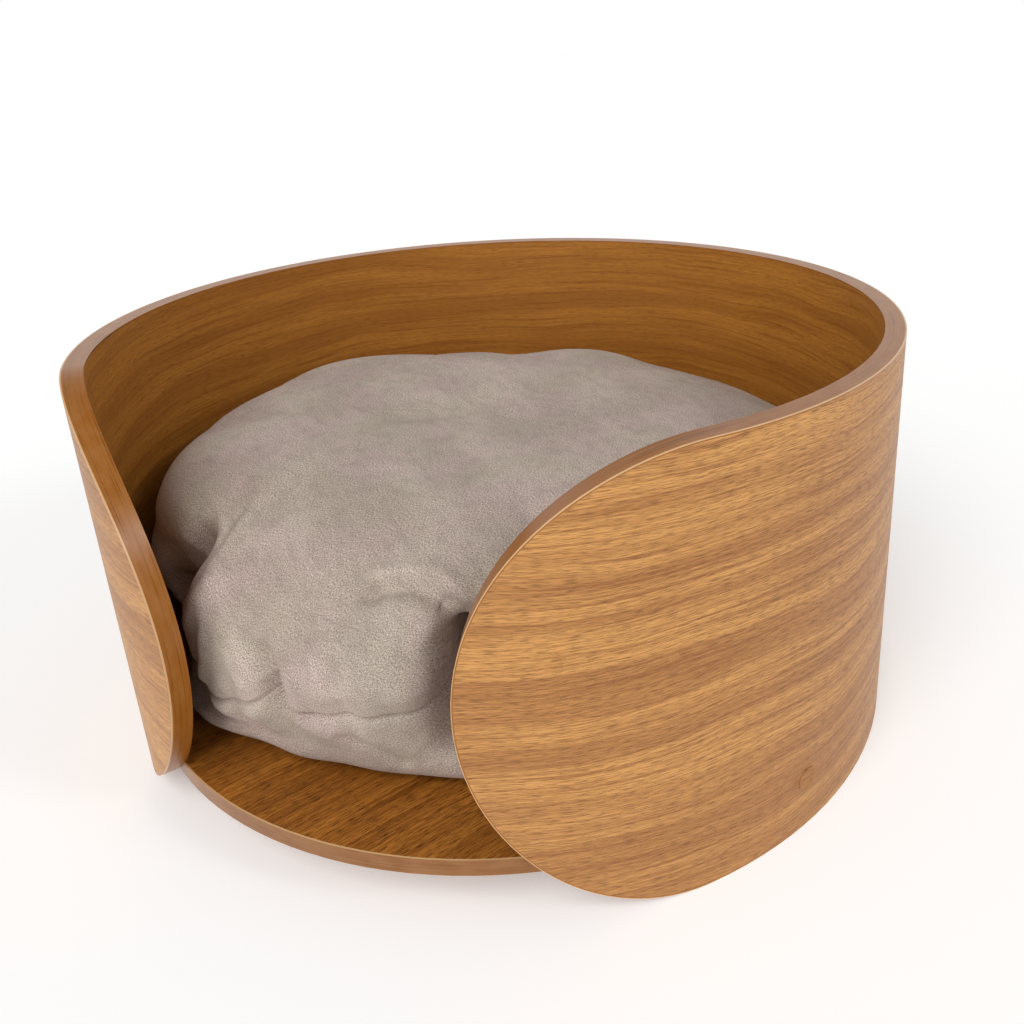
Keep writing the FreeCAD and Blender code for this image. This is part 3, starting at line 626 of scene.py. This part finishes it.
def settle(points, faces_down, most):
    """Let a panel settle as cloth, pinned along the seam and pushed out by the filling.

    The cloth is a little loose near the seam, and no point moves further than most.
    """
    inwards = from_seam(points)
    item = panel_object("settling_cloth", points)
    if faces_down:
        item.data.flip_normals()
    by_zip = zip_opening() * (1 - smoothstep(inwards, 0.004, 0.020))
    near_middle = 1 - smoothstep(np.linalg.norm(points[..., :2], axis=-1), 0.012, 0.030)
    on_board = 1 - smoothstep(points[..., 2], CUSHION_FLOOR + 0.001, CUSHION_FLOOR + 0.004)
    pins = np.maximum.reduce([(inwards < 1e-6) * 1.0, by_zip, near_middle, on_board])
    loose = smoothstep(inwards, 0.002, 0.020) * (1 - smoothstep(inwards, 0.060, 0.110))
    add_group(item, "pins", [*pins.ravel(), 1.0])
    add_group(item, "loose", [*loose.ravel(), 0.0])
    cloth = item.modifiers.new("settle", "CLOTH")
    cloth.point_cache.frame_end = SETTLE_FRAMES
    settings = cloth.settings
    settings.quality = 6
    settings.mass = 0.25
    settings.tension_stiffness = settings.compression_stiffness = 12
    settings.shear_stiffness = 6
    settings.bending_stiffness = 0.35
    settings.use_pressure = True
    settings.uniform_pressure_force = 2.5
    settings.effector_weights.gravity = 0
    settings.vertex_group_mass = "pins"
    settings.vertex_group_shrink = "loose"
    settings.shrink_min, settings.shrink_max = 0.0, -0.07
    for step in range(1, SETTLE_FRAMES + 1):
        bpy.context.scene.frame_set(step)
    evaluated = item.evaluated_get(bpy.context.evaluated_depsgraph_get())
    settled = np.empty(len(evaluated.data.vertices) * 3, np.float32)
    evaluated.data.vertices.foreach_get("co", settled)
    bpy.data.objects.remove(item)
    bpy.context.scene.frame_set(1)
    move = settled.reshape(-1, 3)[:-1].reshape(points.shape) - points
    size = np.linalg.norm(move, axis=-1, keepdims=True)
    return points + move * np.minimum(1, most / np.maximum(size, 1e-9))


def make_cushion(material):
    """The two cloth panels, which stand for the cover, the liner and the filling."""
    top, bottom = (spin(curve) for curve in panel_profiles())
    top += outward(top) * relief(top, FOLDS)[..., None]
    bottom -= outward(bottom) * relief(bottom, FOLDS)[..., None]
    top = gathers(top, outward(top), count=70, size=0.0035)
    bottom = gathers(bottom, -outward(bottom), count=24, size=0.0015)
    close_seam(top, bottom)
    open_zip(top, 1)
    open_zip(bottom, -1)
    top = settle(top, False, TOP_GIVE)
    bottom = settle(bottom, True, BOTTOM_GIVE)
    panels = []
    for name, points, rings, wrinkles in (("cushion_top_cloth", top, FINE_TOP_RINGS, WRINKLES),
                                          ("cushion_bottom_cloth", bottom, FINE_BOTTOM_RINGS, ())):
        points = refine(points, rings)
        stretch(points, relief(points, CREASES))
        points += outward(points) * relief(points, wrinkles)[..., None]
        draw_in(points)
        keep_inside(points)
        item = panel_object(name, points)
        item.data.materials.append(material)
        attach(item, "cushion")
        panels.append(item)
    panels[1].data.flip_normals()
    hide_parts("cover_top_panel", "cushion_filling", "liner_top_panel", "liner_bottom_panel")
    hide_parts("cover_bottom_panel")


# ----------------------------------------------------------- studio and camera

# Strength of the white surroundings overhead, in front of the bed and far to either side.
OVERHEAD = 0.31
FRONT = 1.2
BESIDE = 0.6

CAMERA_PLACE = (0.28804, -0.56148, 0.41454)
CAMERA_TURN = (67.813, 1.815, 20.4)
LENS = 35.64
SENSOR = 36.0
SHIFT = (-0.0917, -0.0649)


def make_sky():
    """White surroundings, brightest near the horizon in front and dimmer overhead and to the sides."""
    world = bpy.data.worlds.new("studio")
    world.use_nodes = True
    sky = NodeTree(world.node_tree)
    x, y, z = sky.parts(sky.add("TexCoord", {}, output="Generated"))
    overhead = sky.remap(z, 0.20, 0.70, 1.0, OVERHEAD)
    ahead = sky.remap(y, -0.7, 0.2, FRONT, 1.0)
    beside = sky.remap(sky.calc("ABSOLUTE", x), 0.80, 0.98, 1.0, BESIDE)
    strength = sky.calc("MULTIPLY", sky.calc("MULTIPLY", overhead, ahead), beside)
    background = sky.tree.nodes["Background"]
    sky.tree.links.new(strength, background.inputs["Strength"])
    background.inputs["Color"].default_value = WHITE
    bpy.context.scene.world = world


def sun(name, towards, strength, spread):
    """Soft distant light that shines from a direction, spread over some degrees."""
    lamp = bpy.data.lights.new(name, "SUN")
    lamp.energy = strength
    lamp.angle = math.radians(spread)
    item = bpy.data.objects.new(name, lamp)
    item.rotation_mode = "QUATERNION"
    item.rotation_quaternion = Vector(towards).to_track_quat("Z", "Y")
    bpy.context.scene.collection.objects.link(item)


def make_studio():
    make_sky()
    bpy.ops.mesh.primitive_plane_add(size=40)
    floor = bpy.context.object
    floor.name = "studio_floor"
    shader = Shader("studio_floor")
    floor.data.materials.append(shader.surface(Base_Color=(0.82, 0.82, 0.82, 1), Roughness=1.0,
                                               Specular_IOR_Level=0.0, Emission_Color=WHITE,
                                               Emission_Strength=0.26))
    sun("key", (0.0, -0.82, 0.88), 1.55, 40)
    sun("window", (0.84, -0.05, 0.545), 0.45, 14)


def make_camera():
    """A camera in front of the bed, above it and to its right, turned by degrees about X, Y and Z."""
    camera = bpy.data.cameras.new("camera")
    camera.lens = LENS
    camera.sensor_width = SENSOR
    camera.shift_x, camera.shift_y = SHIFT
    camera.clip_start = 0.01
    item = bpy.data.objects.new("camera", camera)
    turn = Euler([math.radians(degrees) for degrees in CAMERA_TURN])
    item.matrix_world = Matrix.LocRotScale(Vector(CAMERA_PLACE), turn, None)
    bpy.context.scene.collection.objects.link(item)
    bpy.context.scene.camera = item


materials = make_materials()
paint_cad_nodes(materials)
make_cushion(materials["cover_fabric"])
make_studio()
make_camera()
bpy.context.scene.view_settings.view_transform = "Standard"
